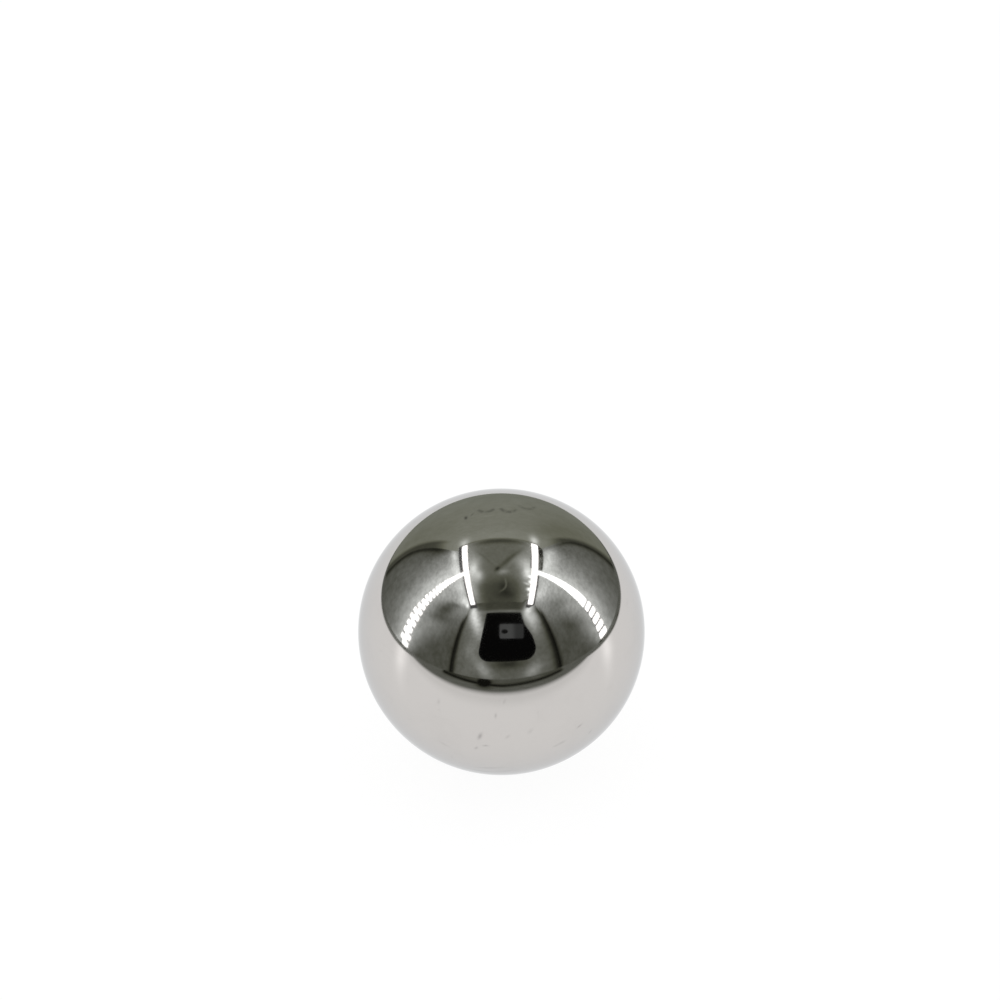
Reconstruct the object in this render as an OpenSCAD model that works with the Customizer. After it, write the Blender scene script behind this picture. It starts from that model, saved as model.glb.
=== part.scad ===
// Steel ball: one solid piece, ground and polished to a true sphere.
// The origin is the centre of the ball, and +Z points straight up from where it rests.

/* [Ball] */
// Diameter of the ball, in millimetres
ball_d = 25.4; // [3:0.1:100]

/* [Hidden] */
// Segments round the equator, an even number so that the ball is the same on all sides
round_steps = 180;

// Polished steel all over, with no flat, bore, seam or core
module ball() {
    color([0.78, 0.77, 0.75]) sphere(d = ball_d, $fn = round_steps);
}

ball();
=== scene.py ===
import math

import bpy
from mathutils import Matrix, Vector


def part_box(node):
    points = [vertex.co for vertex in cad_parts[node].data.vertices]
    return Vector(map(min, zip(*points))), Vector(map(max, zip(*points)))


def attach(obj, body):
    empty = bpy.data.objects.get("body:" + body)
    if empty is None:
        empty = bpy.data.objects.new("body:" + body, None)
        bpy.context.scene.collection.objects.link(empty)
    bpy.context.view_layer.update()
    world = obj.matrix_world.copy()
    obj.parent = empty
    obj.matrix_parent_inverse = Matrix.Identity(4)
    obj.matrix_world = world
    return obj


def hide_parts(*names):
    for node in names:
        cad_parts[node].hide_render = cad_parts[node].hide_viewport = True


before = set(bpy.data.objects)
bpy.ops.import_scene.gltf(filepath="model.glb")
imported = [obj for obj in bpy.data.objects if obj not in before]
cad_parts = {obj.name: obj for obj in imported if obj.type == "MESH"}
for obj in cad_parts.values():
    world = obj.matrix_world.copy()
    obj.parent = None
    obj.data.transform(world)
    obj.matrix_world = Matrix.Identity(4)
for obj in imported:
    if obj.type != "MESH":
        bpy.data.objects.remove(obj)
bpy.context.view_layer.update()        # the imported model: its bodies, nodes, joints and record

ballLow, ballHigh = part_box("ball")
ballRadius = (ballHigh.z - ballLow.z) / 2        # metres; the tent and the camera are set out in it
mmPerMetre = 1000
micrometre = 1e-6


# Node sheets: shader and geometry trees written as sums

class Wire:                                      # one output socket, with arithmetic on it
    def __init__(self, sheet, socket):
        self.sheet = sheet
        self.socket = socket

    def __add__(self, other):
        return self.sheet.maths("ADD", self, other)

    def __radd__(self, other):
        return self.sheet.maths("ADD", other, self)

    def __sub__(self, other):
        return self.sheet.maths("SUBTRACT", self, other)

    def __rsub__(self, other):
        return self.sheet.maths("SUBTRACT", other, self)

    def __mul__(self, other):
        return self.sheet.maths("MULTIPLY", self, other)

    def __rmul__(self, other):
        return self.sheet.maths("MULTIPLY", other, self)

    def __truediv__(self, other):
        return self.sheet.maths("DIVIDE", self, other)

    def __rtruediv__(self, other):
        return self.sheet.maths("DIVIDE", other, self)

    def __neg__(self):
        return self.sheet.maths("MULTIPLY", self, -1)

    def __abs__(self):
        return self.sheet.maths("ABSOLUTE", self)


class NodeSheet:
    def __init__(self, tree):
        self.tree = tree
        tree.nodes.clear()

    def node(self, kind, settings=None, values=None, out=0):
        made = self.tree.nodes.new(kind)
        for name, setting in (settings or {}).items():
            setattr(made, name, setting)
        for key, value in (values or {}).items():
            if isinstance(value, Wire):
                self.tree.links.new(value.socket, made.inputs[key])
            else:
                made.inputs[key].default_value = value
        return Wire(self, made.outputs[out]) if len(made.outputs) else made

    def maths(self, operation, *values):
        return self.node("ShaderNodeMath", {"operation": operation}, dict(enumerate(values)))

    def split(self, vector):                     # a vector's x, y and z as three wires
        parts = self.node("ShaderNodeSeparateXYZ", None, {0: vector}).socket.node.outputs
        return [Wire(self, part) for part in parts]

    def scaled(self, vector, factor):
        return self.node("ShaderNodeVectorMath", {"operation": "SCALE"}, {0: vector, "Scale": factor})

    def above(self, value):                      # the part of a value that is over zero
        return self.maths("MAXIMUM", value, 0)

    def bell(self, value):                       # 1 at zero, falling away smoothly on both sides
        return self.maths("EXPONENT", -(value * value))

    def ease(self, value, start, end):           # 0 at start, 1 at end, with soft shoulders
        return self.node("ShaderNodeMapRange", {"interpolation_type": "SMOOTHSTEP"},
                         {"Value": value, "From Min": start, "From Max": end})

    def local(self, place, middle, turn, reach): # a place measured from a patch, along the patch's own axes
        return self.node("ShaderNodeMapping", {"vector_type": "TEXTURE"}, {
            "Vector": place, "Location": middle, "Rotation": turn, "Scale": reach})

    def spot(self, place, middle, turn, reach):  # 1 in the middle of a patch, fading out at its reach
        near = self.local(place, middle, turn, reach)
        far = self.node("ShaderNodeVectorMath", {"operation": "DOT_PRODUCT"}, {0: near, 1: near}, out="Value")
        return self.maths("EXPONENT", -far)

    def noise(self, vector, scale, detail=2, roughness=0.5):
        return self.node("ShaderNodeTexNoise", None,
                         {"Vector": vector, "Scale": scale, "Detail": detail, "Roughness": roughness})


def newFinish(name):                             # an empty material and its sheet
    material = bpy.data.materials.new(name)
    material.use_nodes = True
    return material, NodeSheet(material.node_tree)


# Camera: the photo's own place, worked back from the outline of the ball

camera = {
    "lens": 144.94,                              # mm
    "sensor": 36,                                # mm
    "clip": (0.01, 20),                          # metres
    "distance": 28.11,                           # ball radii from the ball's centre
    "height": 36.16,                             # degrees above the floor
    "roll": -1.35,                               # degrees
    "picture": 1000,                             # px across the photo
    "ball": (501.44, 631.65),                    # px, where the ball's centre falls in the photo
}


def cameraPlace():                               # position, right, up and forward
    height, roll = math.radians(camera["height"]), math.radians(camera["roll"])
    focal = camera["lens"] / camera["sensor"] * camera["picture"]
    back = Vector((0, -math.cos(height), math.sin(height)))
    right = Vector((1, 0, 0))
    up = back.cross(right)
    across, down = (px - camera["picture"] / 2 for px in camera["ball"])
    aside = across * math.cos(roll) + down * math.sin(roll)
    above = down * math.cos(roll) - across * math.sin(roll)
    forward = (up * above - right * aside - back * focal).normalized()
    right = (right - forward * right.dot(forward)).normalized()
    up = right.cross(forward)
    turn = Matrix.Rotation(-roll, 3, forward)
    return back * camera["distance"] * ballRadius, turn @ right, turn @ up, forward


def setCamera():
    place, right, up, forward = cameraPlace()
    lens = bpy.data.cameras.new("camera")
    lens.lens, lens.sensor_width = camera["lens"], camera["sensor"]
    lens.clip_start, lens.clip_end = camera["clip"]
    holder = bpy.data.objects.new("camera", lens)
    bpy.context.scene.collection.objects.link(holder)
    turn = Matrix((right, up, -forward)).transposed()
    holder.matrix_world = Matrix.Translation(place) @ turn.to_4x4()
    bpy.context.scene.camera = holder


setCamera()
print("camera set")


# Steel: mirror polish with the wear of handling

steel = {
    "colour": (0.582, 0.560, 0.542),
    "edge": (0.805, 0.820, 0.835, 1),            # tint towards the rim
    "roughness": 0.045,
    "film roughness": 0.035,                     # added where handling left a film
    "film size": 5.0,                            # mm
    "film cut": (0.45, 0.75),                    # of its noise, from no film to a full one
    "film shade": 0.03,
    "hairline sets": [((0.3, 0.7, 0.2), (0.06, 0.06, 1.6)),      # turn in radians and scale of each set
                      ((1.3, 0.2, 1.0), (1.5, 0.05, 0.05))],
    "hairline cut": 0.006,                       # of the noise; the higher, the wider the lines
    "hairline patches": 0.4,                     # patches that have lines, for each mm
    "patch cut": (0.5, 0.7),
    "hairline shade": 0.06,
    "speck shade": 0.14,
    "speck size": 0.4,                           # mm
    "speck cut": (0.785, 0.845),                 # of the noise; the higher, the fewer the specks
    "speck side": (-1, 5),                       # mm towards the back, where specks start and are full
    "mark roughness": 0.3,                       # added for each full shade of a mark
    "ripple": 1.0,                               # micrometres, of the polish's long waves
    "ripple size": 4.0,                          # mm
}
rub = {
    "width": 0.2,                                # mm
    "breaks": 2.2,                               # breaks in the ring for each mm
    "break cut": (0.35, 0.55),                   # of their noise, from a full break to none
    "fade": (0.25, -0.35),                       # across the ring, where its shade starts and is full
    "least": 0.4,                                # the share of its shade that is left at a break
}

# Marks: bearing from the front and height in degrees, length and width in mm, turn in degrees,
# shade, and depth in micrometres

marks = [
    (-88.5, 77.0, 0.48, 0.30, 0, 0.65, 5),
    (-96.5, 79.5, 0.50, 0.18, 155, 0.28, 1),
    (-73.5, 86.0, 1.30, 0.16, 75, -0.08, 0),
    (134.0, 84.5, 0.70, 0.26, 45, -0.07, 0),
    (-9.5, -9.5, 0.80, 0.32, 70, 0.32, 2),
    (-11.5, -17.0, 0.44, 0.24, 55, 0.20, 1),
    (-7.5, -15.0, 0.50, 0.22, 5, 0.20, 1),
    (-11.5, -39.5, 2.60, 0.34, -5, 0.16, 1),
    (-8.0, -34.0, 2.20, 0.30, 8, 0.13, 1),
    (0.0, -38.0, 1.80, 0.30, 4, 0.12, 1),
    (-3.0, 1.5, 0.50, 0.20, 85, 0.19, 1),
    (1.5, -9.5, 0.54, 0.26, 50, 0.11, 1),
    (0.5, 8.0, 0.50, 0.24, 70, 0.09, 1),
    (10.5, -7.5, 0.60, 0.34, 60, 0.08, 1),
    (32.0, -12.0, 0.50, 0.24, 35, 0.20, 1),
    (24.5, -19.0, 0.80, 0.36, 20, 0.12, 1),
    (22.0, -20.0, 0.40, 0.24, 15, 0.10, 1),
    (-26.0, 4.5, 0.50, 0.26, 80, 0.11, 1),
    (39.0, -19.5, 0.50, 0.22, 60, 0.12, 1),
    (-25.5, -18.5, 0.90, 0.30, -30, 0.07, 1),
]

# Rubs: bearing and height of an arc's centre, its radius in mm, the side it opens to, and its shade

rubs = [
    (-133.0, 83.5, 0.63, -135, 0.36),
    (135.0, 84.5, 0.60, -50, 0.38),
    (123.5, 76.5, 0.62, -25, 0.24),
]


def onBall(bearing, height, turn):               # a place on the ball in mm, and the turn of what lies there
    axes = (Matrix.Rotation(math.radians(bearing), 3, "Z")
            @ Matrix.Rotation(math.radians(90 - height), 3, "X")
            @ Matrix.Rotation(math.radians(turn), 3, "Z"))
    return axes.col[2] * ballRadius * mmPerMetre, axes.to_euler()


def rubMark(sheet, place, bearing, height, reach, side):         # half a ring, rubbed into the polish
    near = sheet.local(place, *onBall(bearing, height, side), (reach, reach, reach))
    far = sheet.node("ShaderNodeVectorMath", {"operation": "LENGTH"}, {0: near}, out="Value")
    ring = sheet.bell((far - 1) / (rub["width"] / reach))
    whole = sheet.ease(sheet.noise(place, rub["breaks"], detail=1), *rub["break cut"])
    return ring * sheet.ease(sheet.split(near)[0], *rub["fade"]) * (rub["least"] + whole * (1 - rub["least"]))


def hairlines(sheet, place, turn, scale):        # long thin lines that run one way over the steel
    turned = sheet.node("ShaderNodeMapping", None, {"Vector": place, "Rotation": turn, "Scale": scale})
    return sheet.ease(abs(sheet.noise(turned, 1.0) - 0.5), steel["hairline cut"], 0.0)


def worn(sheet, place):                          # the shade and the depth of all marks and rubs
    shade, depth = 0, 0
    for bearing, height, long, wide, turn, dark, deep in marks:
        mask = sheet.spot(place, *onBall(bearing, height, turn), (long / 2, wide / 2, 1))
        shade = shade + mask * dark
        depth = depth + mask * deep
    for bearing, height, reach, side, dark in rubs:
        shade = shade + rubMark(sheet, place, bearing, height, reach, side) * dark
    return shade, depth


def polishedSteel():
    material, sheet = newFinish("polished steel")
    seen = sheet.node("ShaderNodeTexCoord", out="Object")
    place = sheet.scaled(seen, mmPerMetre)       # millimetres on the ball
    film = sheet.noise(place, 1 / steel["film size"], detail=4, roughness=0.6)
    film = sheet.ease(film, *steel["film cut"])
    lines = sum(hairlines(sheet, place, turn, scale) for turn, scale in steel["hairline sets"])
    lines = lines * sheet.ease(sheet.noise(place, steel["hairline patches"]), *steel["patch cut"])
    behind = sheet.ease(sheet.split(place)[1], *steel["speck side"])     # the side without the marks above
    specks = sheet.noise(place, 1 / steel["speck size"], detail=0)
    specks = sheet.ease(specks, *steel["speck cut"]) * behind
    shade, depth = worn(sheet, place)
    bright = 1 - shade - film * steel["film shade"] - lines * steel["hairline shade"]
    bright = bright - specks * steel["speck shade"]
    ripple = sheet.noise(place, 1 / steel["ripple size"], detail=1) * steel["ripple"]
    bump = sheet.node("ShaderNodeBump", None, {
        "Distance": micrometre, "Strength": 1.0, "Height": ripple - depth})
    skin = sheet.node("ShaderNodeBsdfPrincipled", None, {
        "Base Color": sheet.scaled(steel["colour"], bright),
        "Metallic": 1.0,
        "Roughness": steel["roughness"] + film * steel["film roughness"] + shade * steel["mark roughness"],
        "Specular Tint": steel["edge"],
        "Normal": bump,
    })
    sheet.node("ShaderNodeOutputMaterial", None, {"Surface": skin})
    return material


# Grown pieces: geometry trees with named sizes, turned into plain meshes

def grow(name, sizes, finish, build):
    tree = bpy.data.node_groups.new(name, "GeometryNodeTree")
    kinds = {float: "NodeSocketFloat", int: "NodeSocketInt"}
    for label, size in sizes.items():
        tree.interface.new_socket(label, in_out="INPUT", socket_type=kinds[type(size)])
    tree.interface.new_socket("Finish", in_out="INPUT", socket_type="NodeSocketMaterial")
    tree.interface.new_socket("Geometry", in_out="OUTPUT", socket_type="NodeSocketGeometry")
    sheet = NodeSheet(tree)
    given = {socket.name: Wire(sheet, socket) for socket in tree.nodes.new("NodeGroupInput").outputs}
    shape = build(sheet, given)
    shape = sheet.node("GeometryNodeRealizeInstances", None, {0: shape})
    shape = sheet.node("GeometryNodeSetMaterial", None, {"Geometry": shape, "Material": given["Finish"]})
    sheet.node("NodeGroupOutput", None, {0: shape})
    piece = bpy.data.objects.new(name, bpy.data.meshes.new(name))
    bpy.context.scene.collection.objects.link(piece)
    growth = piece.modifiers.new(name, "NODES")
    growth.node_group = tree
    for socket in tree.interface.items_tree:
        if socket.in_out == "INPUT":
            growth[socket.identifier] = finish if socket.name == "Finish" else sizes[socket.name]
    piece.update_tag()
    grown = piece.evaluated_get(bpy.context.evaluated_depsgraph_get())
    mesh = bpy.data.meshes.new_from_object(grown)
    piece.modifiers.remove(growth)
    piece.data = mesh
    mesh.name = name
    return piece


# Ball

ball = {
    "Radius": ballRadius,
    "Cells": 96,                                 # along each edge of the cube that is blown up to the ball
}


def growBall(sheet, given):
    points = given["Cells"] + 1
    cube = sheet.node("GeometryNodeMeshCube", None, {
        "Size": (2, 2, 2), "Vertices X": points, "Vertices Y": points, "Vertices Z": points})
    even = [sheet.maths("TANGENT", part * (math.pi / 4))
            for part in sheet.split(sheet.node("GeometryNodeInputPosition"))]
    outward = sheet.node("ShaderNodeCombineXYZ", None, dict(enumerate(even)))
    outward = sheet.node("ShaderNodeVectorMath", {"operation": "NORMALIZE"}, {0: outward})
    blown = sheet.node("GeometryNodeSetPosition", None, {
        "Geometry": cube, "Position": sheet.scaled(outward, given["Radius"])})
    return sheet.node("GeometryNodeSetShadeSmooth", None, {"Geometry": blown, "Shade Smooth": True})


steelBall = grow("steel_ball", ball, polishedSteel(), growBall)
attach(steelBall, "root")
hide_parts("ball")
print("ball grown:", len(steelBall.data.polygons), "faces")


# Tent: the lit studio that only the steel mirrors, set out in ball radii from the ball's centre

tent = {
    "left": -28.5,
    "right": 27.3,
    "back": 28.0,
    "front": -35.2,
    "seam": -28.6,                               # y where the front panel meets the right wall
    "bend": 20.5,                                # x where the front panel turns towards that seam
    "top": 60.0,
    "floor": -1.0,
    "tint": (1.050, 1.103, 1.113),               # of the cloth in bright light
    "least light": 0.008,
    "least blue": 0.84,                          # its blue in deep shade, for a light of one
}
leftLamp, rightLamp = (-4.0, 0.035), (-1.7, -0.006)      # each upright lamp's y at the floor, and its lean

# Patches of painted light and shade on the cloth, the floor and the lamp housings: where, how far each way,
# the turn in degrees, and the light added

leftLightAndShade = [
    (15, 48, 6.5, 4, 0, 0.60), (5, 49, 5, 4, 0, 0.30), (22.5, 36, 5, 12, 0, -0.17),
    (-25.5, 50, 8.5, 4, 120, 0.70), (-12, 49, 5.5, 5, 0, 0.35), (-20.5, 37, 13, 2, 135, -0.22),
    (-14, 25.5, 10, 3.5, 130, -0.34), (-13.5, 19, 13, 2.5, 145, -0.16), (-31, 51, 3, 2, 120, 0.90),
    (3, 28, 3.5, 16, 0, 0.13),
]
rightLightAndShade = [
    (12.5, 41, 9, 7.5, 0, 0.50), (21, 45, 3.5, 12, 0, -0.20), (-16.5, 43, 10, 4, -40, 0.36),
    (-17.5, 29.5, 10, 3.5, -40, 0.10), (-13, 26, 9, 4, -45, -0.26), (-12, 12.5, 9, 4, -45, -0.16),
]
backLightAndShade = [
    (23, 52.5, 9, 2.5, 65, 0.68), (-24, 54.5, 9, 3, -65, 0.48),
    (20.5, 18, 9, 20, 0, -0.08), (-20, 12, 8, 14, 0, -0.05),
]
ceilingLightAndShade = [
    (-20, 0, 3, 4.5, 0, 0.50), (-17.5, -8, 4, 5, 0, 0.37), (-18.5, 6.5, 4.5, 4.5, 0, 0.22),
    (-23, -22, 3.5, 10, 0, 0.20), (21, -4.5, 3, 5, 0, 0.50), (18, 4, 6, 5, -30, 0.30),
    (7.5, 7, 14, 1.8, 50, -0.09), (10.5, 5, 11, 1.6, 50, 0.05), (-11, 9, 12, 1, 125, -0.04),
    (2.5, -6, 4, 2, 10, 0.18), (-2, -3, 2.5, 1.5, 50, -0.13), (5, -27, 9, 5, 0, -0.04),
    (4.3, -14.5, 2.4, 0.7, 100, 0.09), (4.6, -18.2, 2.4, 0.7, 82, 0.10), (3.2, -21.4, 2.2, 0.7, 55, 0.10),
    (0.9, -23.4, 2.2, 0.7, 35, 0.06), (0, 25.5, 24, 3, 0, -0.11), (-16, -6.5, 2, 3, 0, 0.16),
    (3, -18, 4.5, 7, 0, -0.045),
    # painted highlights beside the right ceiling lamp
    (25.0, -20.5, 2.0, 1.5, 0, 2.0), (24.6, -8, 2.0, 1.3, 0, 2.0), (24.8, -13, 1.4, 1.6, 0, 1.5),
    (22.8, -15.5, 2.8, 0.9, -12, 0.6), (26, -26, 1.4, 1.6, 0, 1.5), (26.4, -32, 1.2, 1.6, 0, 1.2),
]
frontLightAndShade = [
    (-20, 39.5, 15, 3.5, -66, 0.86), (-23, 50, 6, 2, -70, 0.46), (23, 48, 10, 3, 65, 0.90),
    (22, 35.5, 9, 4, 83, 0.42), (3, 6.5, 8.5, 2.5, 0, -0.12), (15.5, 2, 5, 3, 35, 0.26),
    (-9.5, 4, 5.5, 2.5, 130, 0.24), (-16.5, 14.5, 4, 9, 0, 0.10), (2, 45.5, 15, 1.3, 0, 0.06),
    (11, 46, 5, 1.5, 0, 0.06), (21.5, 29, 3.5, 9, 0, 0.06), (-15.5, 31, 3, 6, 0, 0.05),
]
floorLightAndShade = [
    (-22, -2, 8, 6, 10, 0.22), (22, -1, 8, 5, -5, 0.22), (9.5, -20, 10, 2, -65, 0.10),
    (-26, -2.6, 4, 0.7, 8, -0.60), (-26, -4.8, 4, 0.7, 12, -0.60), (25, -1.0, 4, 0.8, -4, -0.60),
    (24, -3.2, 4, 0.8, -8, -0.60), (14, 1.5, 2, 1.2, 0, -0.30), (15, 4.5, 2, 1.0, 0, -0.20),
]
housingLightAndShade = [
    (-29, -6.2, 1.8, 1.2, 0, -0.9), (-29, -12.8, 1.8, 2.0, 0, -0.9), (-29, -22.8, 1.8, 1.8, 0, -0.9),
]


def cloth(name, faceOn, tone, blueLost=0):       # glowing cloth; faceOn picks the two axes along it
    material, sheet = newFinish(name)
    seen = sheet.node("ShaderNodeTexCoord", out="Object")
    parts = sheet.split(sheet.scaled(seen, 1 / ballRadius))
    along, above = parts[faceOn[0]], parts[faceOn[1]]
    flat = sheet.node("ShaderNodeCombineXYZ", None, {0: along, 1: above})
    light = tinted(sheet, tone(sheet, flat, along, above), blueLost)
    glow = sheet.node("ShaderNodeEmission", None, {"Color": light})
    sheet.node("ShaderNodeOutputMaterial", None, {"Surface": glow})
    return material


def tinted(sheet, light, blueLost):              # the cloth loses some blue in its shade
    red, green, blue = tent["tint"]
    light = sheet.maths("MAXIMUM", light, tent["least light"])
    blue = sheet.maths("MAXIMUM", light * blue - blueLost, light * tent["least blue"])
    return sheet.node("ShaderNodeCombineXYZ", None, {0: light * red, 1: light * green, 2: blue})


def lampFinish(name, strength):
    material, sheet = newFinish(name)
    glow = sheet.node("ShaderNodeEmission", None, {"Strength": strength})
    sheet.node("ShaderNodeOutputMaterial", None, {"Surface": glow})
    return material


def onlyMirrored(thing):                         # seen by the steel alone, and lights nothing else
    thing.visible_camera = False
    thing.visible_diffuse = False
    thing.visible_transmission = False
    thing.visible_volume_scatter = False
    thing.visible_shadow = False


def card(name, corners, faces, finish):          # flat cards, corners in ball radii
    mesh = bpy.data.meshes.new(name)
    mesh.from_pydata([Vector(corner) * ballRadius for corner in corners], [], faces)
    mesh.materials.append(finish)
    thing = bpy.data.objects.new(name, mesh)
    bpy.context.scene.collection.objects.link(thing)
    onlyMirrored(thing)


def curtain(name, plan, finish):                 # an upright sheet that follows a line on the floor
    corners = [(x, y, z) for x, y in plan for z in (tent["floor"], tent["top"])]
    faces = [(2 * k, 2 * k + 2, 2 * k + 3, 2 * k + 1) for k in range(len(plan) - 1)]
    card(name, corners, faces, finish)


# painted light and shade: soft patches added to a glowing surface
def paintedLightAndShade(sheet, flat, table):
    light = 0
    for along, above, reach, height, turn, strength in table:
        patch = sheet.spot(flat, (along, above, 0), (0, 0, math.radians(turn)), (reach, height, 1))
        light = light + patch * strength
    return light


wrinkleLight = {
    "broad wrinkles": 0.13,                              # broad patches of painted wrinkle light and shade, for each ball radius
    "fine wrinkles": 0.45,                               # finer patches of it, for each ball radius
    "fine wrinkle share": 1.6,                                 # how strong a fine patch is next to a broad one
}


def mottled(sheet, flat, light, strength):       # painted light and shade of wrinkles in the cloth: broad patches and finer ones
    broad = sheet.noise(flat, wrinkleLight["broad wrinkles"], detail=3) - 0.5
    fine = sheet.noise(flat, wrinkleLight["fine wrinkles"], detail=4, roughness=0.65) - 0.5
    return light * (1 + broad * strength + fine * strength * wrinkleLight["fine wrinkle share"])


def shaded(sheet, away, reach, z, start, end, shade):            # painted shade along the dark gap in a corner of the tent
    return 1 - sheet.bell(away / reach) * sheet.ease(z, start, end) * shade


sideWall = {
    "plain": 0.104,                              # light in its shade
    "behind": (0.84, 4.4, 0.12),                 # peak, reach and spread of the light behind each lamp
    "before": (0.50, 4.2, 0.51),                 # the same on its front side
    "blend": 3,                                  # how far to each side of the lamp the two blend
    "upper": (0.16, 49.0, 13.0),                 # peak, height and reach of the ceiling lamp's light
    "front seam": (2.1, 46, 32, 0.93),           # reach, heights where shade starts and is full, shade
    "back seam": (2.1, 46, 22, 0.78),
    "front inset": (0.4, 0.8),                   # from the left and right front corner to the seam's shade
    "back inset": 1.2,
    "wrinkleLight": 0.65,
    "blue lost": 0.02,
}


def wallTone(lamp, seam, curve, table):
    lampY, lean = lamp

    def tone(sheet, flat, y, z):
        away = y - lampY - z * lean
        peak, reach, spread = sideWall["behind"]
        far = away / (reach + z * spread)
        behind = peak / (1 + far * far)
        peak, reach, spread = sideWall["before"]
        before = sheet.bell(away / (reach + z * spread)) * peak
        low = before + (behind - before) * sheet.ease(away, -sideWall["blend"], sideWall["blend"])
        peak, top, reach = sideWall["upper"]
        high = sheet.bell(sheet.above(top - z) / reach) * peak
        light = sideWall["plain"] + low + high + paintedLightAndShade(sheet, flat, table)
        light = mottled(sheet, flat, light, sideWall["wrinkleLight"])
        reach, *fading = sideWall["front seam"]
        light = light * shaded(sheet, y - seam, reach, z, *fading)
        reach, *fading = sideWall["back seam"]
        foot, head, forward = curve
        seamY = tent["back"] - sideWall["back inset"] - sheet.ease(z, foot, head) * forward
        return light * shaded(sheet, y - seamY, reach, z, *fading)
    return tone


backSheet = {
    "left curve": (8, 50, 6.5),                  # heights between which its edge comes forward, and how far
    "right curve": (18, 50, 6.5),
    "lap": 0.997,                                # x of that edge, as a share of the wall's
    "lap steps": 12,
    "plain": 0.277,
    "upper": (30, 52, 0.035),                    # heights where more light starts and is full, its strength
    "sides": (23.5, 27, 0.7),                    # from the middle, where shade starts and is full, shade
    "low": (44, 26),                             # heights between which that shade grows
    "top": (55.5, 59, 0.45),                     # heights where the ceiling's shade starts and is full
    "wrinkleLight": 0.22,
    "blue lost": 0.052,
}
ceilingSheet = {
    "plain": 0.181,
    "forward": (-5, -20, 0.095),                 # y where it starts to darken and ends, and by how much
    "halo": (24, 7.5, 0.12),                     # x of each ceiling lamp, reach and light all along it
    "bright": (-3, 9, 0.44),                     # y and reach of the brighter stretch, and its light
    "wrinkleLight": 0.35,
    "blue lost": 0.035,
}
frontSheet = {
    "plain": 0.158,
    "rise": (44, 15, 0.12),                      # height, reach and strength of the light beside the opening
    "beside": (2, 12, 19),                       # the opening's middle, where that light starts and is full
    "top": (44, 50, 0.55),                       # heights where the opening's top shade starts and is full
    "seam": (2.2, 50, 38, 0.9),                  # reach, heights where shade starts and is full, shade
    "left inset": 0.6,                           # from the left corner to that shade
    "wrinkleLight": 0.55,
    "blue lost": 0.025,
}


def backTone(sheet, flat, x, z):
    start, full, added = backSheet["upper"]
    light = backSheet["plain"] + sheet.ease(z, start, full) * added + paintedLightAndShade(sheet, flat, backLightAndShade)
    start, full, shade = backSheet["sides"]
    light = light * (1 - sheet.ease(abs(x), start, full) * sheet.ease(z, *backSheet["low"]) * shade)
    start, full, shade = backSheet["top"]
    return mottled(sheet, flat, light, backSheet["wrinkleLight"]) * (1 - sheet.ease(z, start, full) * shade)


def ceilingTone(sheet, flat, x, y):
    at, reach, added = ceilingSheet["bright"]
    middle = (y - at) / reach
    lampX, reach, everywhere = ceilingSheet["halo"]
    halo = sheet.bell(sheet.above(lampX - abs(x)) / reach) * (everywhere + added / (1 + middle * middle))
    start, full, lost = ceilingSheet["forward"]
    plain = ceilingSheet["plain"] - sheet.ease(y, start, full) * lost
    return mottled(sheet, flat, plain + halo + paintedLightAndShade(sheet, flat, ceilingLightAndShade), ceilingSheet["wrinkleLight"])


def frontTone(sheet, flat, x, z):
    height, reach, added = frontSheet["rise"]
    rise = sheet.bell((z - height) / reach) * added
    middle, near, far = frontSheet["beside"]
    low = frontSheet["plain"] + rise * sheet.ease(abs(x - middle), near, far)
    start, full, shade = frontSheet["top"]
    light = low * (1 - sheet.ease(z, start, full) * shade) + paintedLightAndShade(sheet, flat, frontLightAndShade)
    reach, start, full, shade = frontSheet["seam"]
    leftAway, rightAway = x - tent["left"] - frontSheet["left inset"], x - tent["right"]
    seam = sheet.bell(leftAway / reach) + sheet.bell(rightAway / reach)
    seam = sheet.maths("MINIMUM", seam * sheet.ease(z, start, full), 1)
    return mottled(sheet, flat, light, frontSheet["wrinkleLight"]) * (1 - seam * shade)


def hangCorner(side, curve, finish):             # the back sheet's edge, which laps over a side wall
    low, high, forward = curve
    x, back, top = tent[side] * backSheet["lap"], tent["back"], tent["top"]
    steps = backSheet["lap steps"]
    corners = [(x, back, low)]
    for step in range(steps + 1):
        rise = step / steps
        out = rise * rise * (3 - 2 * rise)       # 0 at the foot, 1 at the head, with soft shoulders
        corners.append((x, back - forward * out, low + (high - low) * rise))
    corners += [(x, back - forward, top), (x, back, top)]
    card("tent_back_" + side, corners, [tuple(range(len(corners)))], finish)


def buildTent():
    left, right, back, front, top = (tent[side] for side in ("left", "right", "back", "front", "top"))
    seam = tent["seam"]
    leftInset, rightInset = sideWall["front inset"]
    leftTone = wallTone(leftLamp, front + leftInset, backSheet["left curve"], leftLightAndShade)
    rightTone = wallTone(rightLamp, seam + rightInset, backSheet["right curve"], rightLightAndShade)
    blueLost = sideWall["blue lost"]
    curtain("tent_left", [(left, front), (left, back)], cloth("left wall", (1, 2), leftTone, blueLost))
    curtain("tent_right", [(right, seam), (right, back)], cloth("right wall", (1, 2), rightTone, blueLost))
    backFinish = cloth("back sheet", (0, 2), backTone, backSheet["blue lost"])
    curtain("tent_back", [(left, back), (right, back)], backFinish)
    for side in ("left", "right"):
        hangCorner(side, backSheet[side + " curve"], backFinish)
    curtain("tent_front", [(right, seam), (tent["bend"], front), (left, front)],
            cloth("front panel", (0, 2), frontTone, frontSheet["blue lost"]))
    card("tent_ceiling", [(left, front, top), (right, front, top), (right, back, top), (left, back, top)],
         [(0, 1, 2, 3)], cloth("ceiling", (0, 1), ceilingTone, ceilingSheet["blue lost"]))


buildTent()
print("tent hung")


# Opening: the dark gap in the front panel that the camera looks through, and the camera's own face

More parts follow.
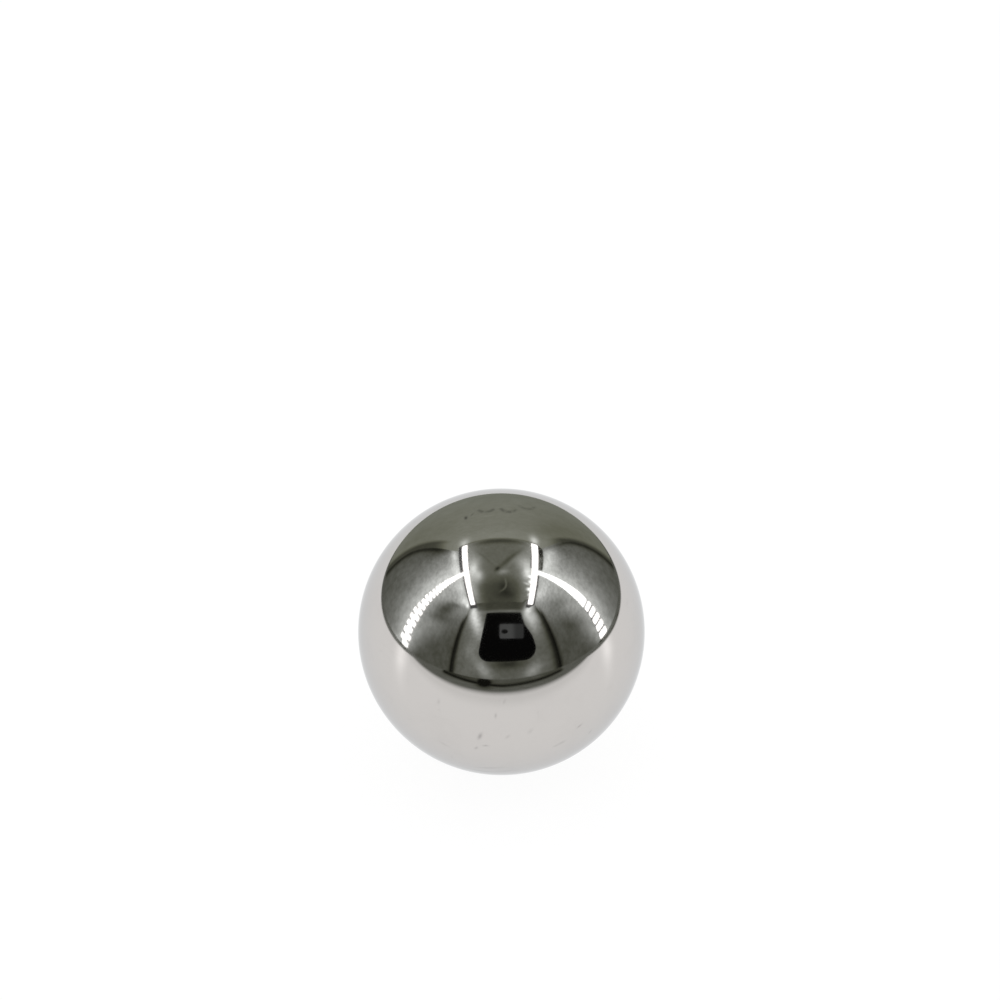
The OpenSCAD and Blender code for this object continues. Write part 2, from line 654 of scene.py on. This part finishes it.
opening = {
    "outline": [(-12.4, 7.8, 5.5), (19.4, 7.8, 8.0), (18.6, 22.0, 6.0), (15.4, 31.0, 6.0),
                (15.4, 43.4, 1.0), (-10.9, 43.4, 1.0), (-11.2, 29.0, 8.0)],      # x, z and bend
    "steps": 8,                                  # in each bend
    "lift": 0.3,                                 # how far it lies before the front panel
    "light": 0.003,
}
cameraFace = {
    "middle": (3.9, -22.7, 16.7),
    "half width": 4.7,
    "half height": 2.8,
    "bend": 0.7,
    "steps": 4,                                  # in each bend
    "turn": -6.5,                                # degrees
    "light": 0.045,
    "gleam": (6, 3.5, 0.045),                    # x where more light starts and is full, and its strength
    "lens": (-2.7, -0.1, 0.85),                  # across, up and half its height, on the face
    "lens stretch": 1.5,                         # its width as a share of its height
    "lens steps": 24,
    "lens lift": 0.2,
    "lens light": 0.008,
}


def roundedOutline(corners, steps):              # a closed outline whose corners are arcs
    points = []
    for k, (x, z, bend) in enumerate(corners):
        corner = Vector((x, z))
        before = (Vector(corners[k - 1][:2]) - corner).normalized()
        after = (Vector(corners[(k + 1) % len(corners)][:2]) - corner).normalized()
        half = before.angle(after) / 2
        centre = corner + (before + after).normalized() * (bend / math.sin(half))
        start = corner + before * (bend / math.tan(half)) - centre
        finish = corner + after * (bend / math.tan(half)) - centre
        sweep = math.atan2(start.cross(finish), start.dot(finish))
        points += [centre + Matrix.Rotation(sweep * step / steps, 2) @ start for step in range(steps + 1)]
    return points


def cutOpening():
    outline = roundedOutline(opening["outline"], opening["steps"])
    level = tent["front"] + opening["lift"]
    corners = [(point.x, level, point.y) for point in outline]
    card("tent_opening", corners, [tuple(range(len(corners)))], lampFinish("dark opening", opening["light"]))


def faceCard(name, outline, lift, finish):       # a card that looks from the camera to the ball
    middle = Vector(cameraFace["middle"])
    out = -middle.normalized()
    across = out.cross(Vector((0, 0, 1))).normalized()
    above = across.cross(out)
    turned = [Matrix.Rotation(math.radians(cameraFace["turn"]), 2) @ point for point in outline]
    corners = [middle + across * point.x + above * point.y + out * lift for point in turned]
    card(name, corners, [tuple(range(len(corners)))], finish)


def faceTone(sheet, flat, x, z):
    start, full, added = cameraFace["gleam"]
    return cameraFace["light"] + sheet.ease(x, start, full) * added


def setCameraFace():
    wide, high, bend = cameraFace["half width"], cameraFace["half height"], cameraFace["bend"]
    corners = [(-wide, -high, bend), (wide, -high, bend), (wide, high, bend), (-wide, high, bend)]
    outline = roundedOutline(corners, cameraFace["steps"])
    faceCard("camera_face", outline, 0, cloth("camera face", (0, 2), faceTone))
    across, above, reach = cameraFace["lens"]
    stretch, steps = cameraFace["lens stretch"], cameraFace["lens steps"]
    rim = [Vector((across + reach * stretch * math.cos(turn), above + reach * math.sin(turn)))
           for turn in (k * math.tau / steps for k in range(steps))]
    faceCard("camera_lens", rim, cameraFace["lens lift"], lampFinish("camera lens", cameraFace["lens light"]))


cutOpening()
setCameraFace()
print("opening cut")


# Lamps: rows of light bars up both side walls, and two long lamps under the ceiling

leftBars = {
    "Length": 60.0, "Pitch": 1.25, "Bar Width": 3.3, "Bar Height": 1.75,
    "Bar Bend": 0.3,                             # radius of a bar's corners, as a share of its height
    "Bend Steps": 4,
    "Sway": 0.75,                                # bars lie by turns to one side and the other
    "Wander": 0.25, "Lean": leftLamp[1], "Seed": 7,
    "Taper": 0.0045,                             # width lost for each radius of height
}
rightBars = {
    "Length": 60.0, "Pitch": 2.5, "Bar Width": 4.1, "Bar Height": 1.95, "Bar Bend": 0.3, "Bend Steps": 4,
    "Sway": 0.0, "Wander": 0.22, "Lean": rightLamp[1], "Seed": 3, "Taper": 0.009,
}
barRow = {
    "gap": 0.3,                                  # between the bars and the wall
    "foot": 1.1,                                 # height of the lowest bar's middle over the floor
    "light": 2.6,
}
barHaze = {                                      # its light low down and high up, and the heights between
    "left": (0.6, 2.4, 20, 36),
    "right": (0.25, 2.6, 10, 15),
    "half width": (2.1, 1.4),                    # at its foot and at its top
    "heights": (-0.6, 60),                       # of its foot and its top
    "behind": 1.003,                             # x as a share of the bars'
}
ceilingLamps = {                                 # x of the near and far edge at the front, then at the back
    "left_ceiling_lamp": {
        "level": 50, "front": (-24.9, -30.0), "back": (-23.5, -28.2), "rim": (-1.6, -3.2),
        "ends": (-36.2, 27.8),                   # y of its front and back end
        "gap": (-4.6, -0.3),                     # y where the upright lamp shines past the rim
        "shadow line": (-1.5, -3.0),                   # width of the painted shadow line beside the lamp, before and behind that gap
    },
    "right_ceiling_lamp": {
        "level": 47, "front": (26.6, 32.4), "back": (23.3, 28.9), "rim": (2.3, 5.1),
        "ends": (-37.2, 27.8),
        "gap": (-5.2, 0.4), "shadow line": (1.6, 0.4),
    },
}
lampShape = {
    "bend": 1,                                   # radius of its corners
    "steps": 3,                                  # in each bend
    "holder": 4.5,                               # length of the dark holder at the front end
    "shadow line bend": 0.1,
    "shadow line past": 0.5,                           # how far the painted shadow line passes the back end
    "shadow line lift": 0.1,                           # how far it lies over the lamp
    "holder and shadow line light": 0.10,
}
lampHousing = {
    "past": 1,                                   # how far it passes the lamp's ends
    "slant": 4,                                  # how far its cut back end reaches along the lamp
    "slant bend": 2,
    "gap bend": 0.6,
    "lift": 0.2,
    "light": 0.30,
    "back": (-7, 3, 0.20),                       # y where it starts to darken and ends, and by how much
    "right back": (9, 17, 0.03),
    "right": (-1, 1),                            # x where that last loss starts and is full
    "grime": (0.25, 1.5),                        # the least light that grime leaves, and what is added
    "grime patches": 0.22,                       # for each ball radius
    "grime cut": (0.35, 0.62),                   # of their noise, from full grime to none
    "blue lost": 0.02,
}


def growBars(sheet, given):
    count = sheet.node("FunctionNodeFloatToInt", None, {0: given["Length"] / given["Pitch"]})
    rungs = sheet.node("GeometryNodeMeshLine", None, {
        "Count": count, "Offset": sheet.node("ShaderNodeCombineXYZ", None, {2: given["Pitch"]})})
    outline = sheet.node("GeometryNodeCurvePrimitiveQuadrilateral", None, {
        "Width": given["Bar Width"], "Height": given["Bar Height"]})
    outline = sheet.node("GeometryNodeFilletCurve", {"mode": "POLY"}, {
        "Curve": outline, "Count": given["Bend Steps"], "Radius": given["Bar Height"] * given["Bar Bend"]})
    bar = sheet.node("GeometryNodeFillCurve", None, {"Curve": outline})
    bar = sheet.node("GeometryNodeTransform", None, {
        "Geometry": bar, "Rotation": (math.pi / 2, 0, math.pi / 2)})
    number = sheet.node("GeometryNodeInputIndex")
    side = sheet.maths("MODULO", number, 2) * 2 - 1
    stray = sheet.node("FunctionNodeRandomValue", {"data_type": "FLOAT"}, {      # from socket 2 to socket 3
        2: -given["Wander"], 3: given["Wander"], "Seed": given["Seed"]}, out=1)
    aside = side * given["Sway"] + stray + number * given["Pitch"] * given["Lean"]
    rungs = sheet.node("GeometryNodeSetPosition", None, {
        "Geometry": rungs, "Offset": sheet.node("ShaderNodeCombineXYZ", None, {1: aside})})
    slim = 1 - number * given["Pitch"] * given["Taper"]
    return sheet.node("GeometryNodeInstanceOnPoints", None, {
        "Points": rungs, "Instance": bar,
        "Scale": sheet.node("ShaderNodeCombineXYZ", None, {0: 1, 1: slim, 2: 1})})


def hazeTone(low, high, start, end):             # the bars run together higher up
    return lambda sheet, flat, y, z: low + sheet.ease(z, start, end) * (high - low)


def hangBars(name, x, lamp, sizes, glow, side):
    lampY, lean = lamp
    bars = grow(name, sizes, glow, growBars)
    foot = Vector((x, lampY, tent["floor"] + barRow["foot"]))
    bars.data.transform(Matrix.Translation(foot * ballRadius) @ Matrix.Scale(ballRadius, 4))
    onlyMirrored(bars)
    behind = x * barHaze["behind"]
    low, high = barHaze["heights"]
    footHalf, headHalf = barHaze["half width"]
    headY = lampY + high * lean
    corners = [(behind, lampY - footHalf, low), (behind, lampY + footHalf, low),
               (behind, headY + headHalf, high), (behind, headY - headHalf, high)]
    card(name + "_haze", corners, [(0, 1, 2, 3)], cloth(name + " haze", (1, 2), hazeTone(*barHaze[side])))


def hangCeilingLamp(name, places, glow, dark, housing):
    shrink = places["level"] / tent["top"]       # nearer than the ceiling, in the same line of sight
    start, end = places["ends"]
    (frontNear, frontFar), (backNear, backFar) = places["front"], places["back"]
    frontRim, backRim = places["rim"]
    before, behind = places["shadow line"]
    gapStart, gapEnd = places["gap"]
    middleFar = (frontFar + backFar) / 2
    bend, shadowLineBend, gapBend = lampShape["bend"], lampShape["shadow line bend"], lampHousing["gap bend"]
    holderStart, shadowLineEnd = start - lampShape["holder"], end + lampShape["shadow line past"]
    coverStart, coverEnd = start - lampHousing["past"], end + lampHousing["past"]
    lamp = [(frontNear, start, bend), (frontFar, start, bend), (backFar, end, bend), (backNear, end, bend)]
    # dark cards behind the lamp: its holder at the front end, and a painted shadow line along its edges
    frontHolderAndShadowLine = [(frontNear - before, holderStart, shadowLineBend), (frontFar + before, holderStart, shadowLineBend),
                  (middleFar + before, gapStart, shadowLineBend), (frontNear, gapStart, shadowLineBend)]
    backShadowLine = [(backNear, gapEnd, shadowLineBend), (middleFar + behind, gapEnd, shadowLineBend),
                 (backFar + behind, shadowLineEnd, shadowLineBend), (backNear, shadowLineEnd, shadowLineBend)]
    cover = [(frontNear, coverStart, bend), (frontFar + frontRim, coverStart, bend),
             (middleFar + frontRim, gapStart, gapBend), (middleFar, gapStart, gapBend),
             (middleFar, gapEnd, gapBend), (middleFar + backRim, gapEnd, gapBend),
             (backFar + backRim, end - lampHousing["slant"], lampHousing["slant bend"]),
             (backFar, coverEnd, bend), (backNear, coverEnd, bend)]
    shadowLineLift = lampShape["shadow line lift"]
    layers = ((name, lamp, 0, glow), (name + "_front_joint", frontHolderAndShadowLine, shadowLineLift, dark),
              (name + "_back_joint", backShadowLine, shadowLineLift, dark),
              (name + "_housing", cover, lampHousing["lift"], housing))
    for label, outline, lift, finish in layers:
        level = places["level"] + lift
        points = roundedOutline(outline, lampShape["steps"])
        corners = [(point.x * shrink, point.y * shrink, level) for point in points]
        card(label, corners, [tuple(range(len(corners)))], finish)


def housingTone(sheet, flat, x, y):
    start, full, lost = lampHousing["back"]
    light = lampHousing["light"] - sheet.ease(y, start, full) * lost
    start, full, lost = lampHousing["right back"]
    light = light - sheet.ease(y, start, full) * sheet.ease(x, *lampHousing["right"]) * lost
    least, added = lampHousing["grime"]
    clean = sheet.ease(sheet.noise(flat, lampHousing["grime patches"], detail=3), *lampHousing["grime cut"])
    return light * (least + clean * added) + paintedLightAndShade(sheet, flat, housingLightAndShade)


def hangLamps():
    glow = lampFinish("lamp light", barRow["light"])
    hangBars("left_lamp", tent["left"] + barRow["gap"], leftLamp, leftBars, glow, "left")
    hangBars("right_lamp", tent["right"] - barRow["gap"], rightLamp, rightBars, glow, "right")
    dark = lampFinish("lamp joint", lampShape["holder and shadow line light"])
    housing = cloth("lamp housing", (0, 1), housingTone, lampHousing["blue lost"])
    for name, places in ceilingLamps.items():
        hangCeilingLamp(name, places, glow, dark, housing)


hangLamps()
print("lamps hung")


# Floor: pale and plain, lit by itself and by the pale sky

floor = {
    "light": 1.02,                               # how bright it looks in the open
    "albedo": 0.09,                              # the share that the ball can shade
    "reach": 3.0,                                # metres each way
}


def layFloor():
    material, sheet = newFinish("pale floor")
    own = floor["light"] * (1 - floor["albedo"])
    top = sheet.node("ShaderNodeBsdfPrincipled", None, {
        "Base Color": (floor["albedo"], floor["albedo"], floor["albedo"], 1),
        "Roughness": 1.0,
        "Specular IOR Level": 0.0,
        "Emission Color": (own, own, own, 1),
        "Emission Strength": 1.0,
    })
    clear = sheet.node("ShaderNodeBsdfTransparent")
    under = sheet.node("ShaderNodeNewGeometry", out="Backfacing")
    both = sheet.node("ShaderNodeMixShader", None, {0: under, 1: top, 2: clear})
    sheet.node("ShaderNodeOutputMaterial", None, {"Surface": both})
    reach, level = floor["reach"], ballLow.z
    mesh = bpy.data.meshes.new("floor")
    corners = [(-reach, -reach, level), (reach, -reach, level), (reach, reach, level), (-reach, reach, level)]
    mesh.from_pydata(corners, [], [(0, 1, 2, 3)])
    mesh.materials.append(material)
    thing = bpy.data.objects.new("floor", mesh)
    bpy.context.scene.collection.objects.link(thing)


def lightSky():
    world = bpy.data.worlds.new("sky")
    bpy.context.scene.world = world
    world.use_nodes = True
    sheet = NodeSheet(world.node_tree)
    light = floor["light"]
    sky = sheet.node("ShaderNodeBackground", None, {"Color": (light, light, light, 1)})
    sheet.node("ShaderNodeOutputWorld", None, {"Surface": sky})
    bpy.context.scene.view_settings.view_transform = "Standard"


layFloor()
lightSky()
print("floor laid")


# Floor round the white sheet, which only the steel mirrors

sheetEdge = {                                    # in ball radii
    "height": 0.01,
    "middle": -1.3,                              # x of the white sheet's middle
    "side": (12.8, 16.0),                        # where the sheet starts to fade, and where it ends
    "front": (-4.6, -6.9),
    "penumbra": (-2.6, -4.4, 0.14),              # start, end and strength of the shade before that edge
    "light": 0.135,
    "wrinkleLight": 0.6,
    "flap": (10.4, 0.20, 0.42),                  # how near the front panel's foot comes, its slope each side
    "rim": (0.019, 0.94),                        # width of the flap's dark rim at one radius, and its shade
    "corners": 1.0,                              # the tangent of the bearing where the rim ends
    "corner fade": 0.9,                          # how far to each side of there it fades
    "slit": (0.24, 0.10, 0.085, 0.062),          # gap in the flap, as tangents: bearing, reach, fall, reach
    "slit height": 1.25,                         # height over the floor from which that fall is taken
    "slit gain": 1.8,                            # fills its middle with full shade
    "slit side": (0, -2),                        # y where it starts and is full
    "streak": 0.34,                              # light that the upright lamps throw along the sheet
    "streak reach": 0.10,
    "streak start": (0.7, -0.62),                # the ball's flank, which mirrors those streaks
    "streak foot": 0.3,                          # keeps a streak from closing to a point there
    "streak fade": (0.8, 6),                     # from the flank, where it starts and is full
    "blue lost": 0.02,
}


def edgeTone(sheet, flat, x, y):                 # the front panel's foot lies there as a dark-rimmed flap
    light = sheetEdge["light"] + paintedLightAndShade(sheet, flat, floorLightAndShade)
    near, rightSlope, leftSlope = sheetEdge["flap"]
    flap = -y - near - sheet.above(x) * rightSlope - sheet.above(-x) * leftSlope
    width, shade = sheetEdge["rim"]
    rim = sheet.bell(flap / (y * y * width)) * shade
    fade = sheetEdge["corner fade"]
    rim = rim * sheet.ease(abs(x) + y * sheetEdge["corners"], fade, -fade)
    bearing, wide, fall, high = sheetEdge["slit"]
    slit = sheet.bell((x / y - bearing) / wide) * sheet.bell((-sheetEdge["slit height"] / y - fall) / high)
    slit = sheet.maths("MINIMUM", slit * sheetEdge["slit gain"], 1) * sheet.ease(y, *sheetEdge["slit side"])
    return mottled(sheet, flat, light, sheetEdge["wrinkleLight"]) * (1 - sheet.maths("MAXIMUM", rim, slit))


def streak(sheet, x, y, lamp, side):             # a faint bright line from the ball towards an upright lamp
    flankX, flankY = sheetEdge["streak start"]
    out = x * math.copysign(1, tent[side]) - flankX
    slope = (lamp[0] - flankY) / (abs(tent[side]) - flankX)
    across = (y - flankY - out * slope) / (abs(out) + sheetEdge["streak foot"])
    return sheet.bell(across / sheetEdge["streak reach"]) * sheet.ease(out, *sheetEdge["streak fade"])


def layEdge():
    material, sheet = newFinish("floor round the sheet")
    seen = sheet.node("ShaderNodeTexCoord", out="Object")
    place = sheet.scaled(seen, 1 / ballRadius)
    x, y = sheet.split(place)[:2]
    start, end, shade = sheetEdge["penumbra"]
    before = sheet.ease(y, *sheetEdge["front"]) * (1 - shade) + sheet.ease(y, start, end) * shade
    off = sheet.maths("MAXIMUM", sheet.ease(abs(x - sheetEdge["middle"]), *sheetEdge["side"]), before)
    tone = tinted(sheet, edgeTone(sheet, place, x, y), sheetEdge["blue lost"])
    glow = sheet.node("ShaderNodeEmission", None, {"Color": tone})
    shine = streak(sheet, x, y, leftLamp, "left") + streak(sheet, x, y, rightLamp, "right")
    shine = sheet.scaled((1, 1, 1), shine * sheetEdge["streak"])
    gleam = sheet.node("ShaderNodeEmission", None, {"Color": shine})
    clear = sheet.node("ShaderNodeAddShader", None, {0: sheet.node("ShaderNodeBsdfTransparent"), 1: gleam})
    both = sheet.node("ShaderNodeMixShader", None, {0: off, 1: clear, 2: glow})
    sheet.node("ShaderNodeOutputMaterial", None, {"Surface": both})
    level = tent["floor"] + sheetEdge["height"]
    corners = [(tent[side], tent[end], level) for side, end in (
        ("left", "front"), ("right", "front"), ("right", "back"), ("left", "back"))]
    card("tent_floor", corners, [(0, 1, 2, 3)], material)


layEdge()
print("edge of the sheet laid")
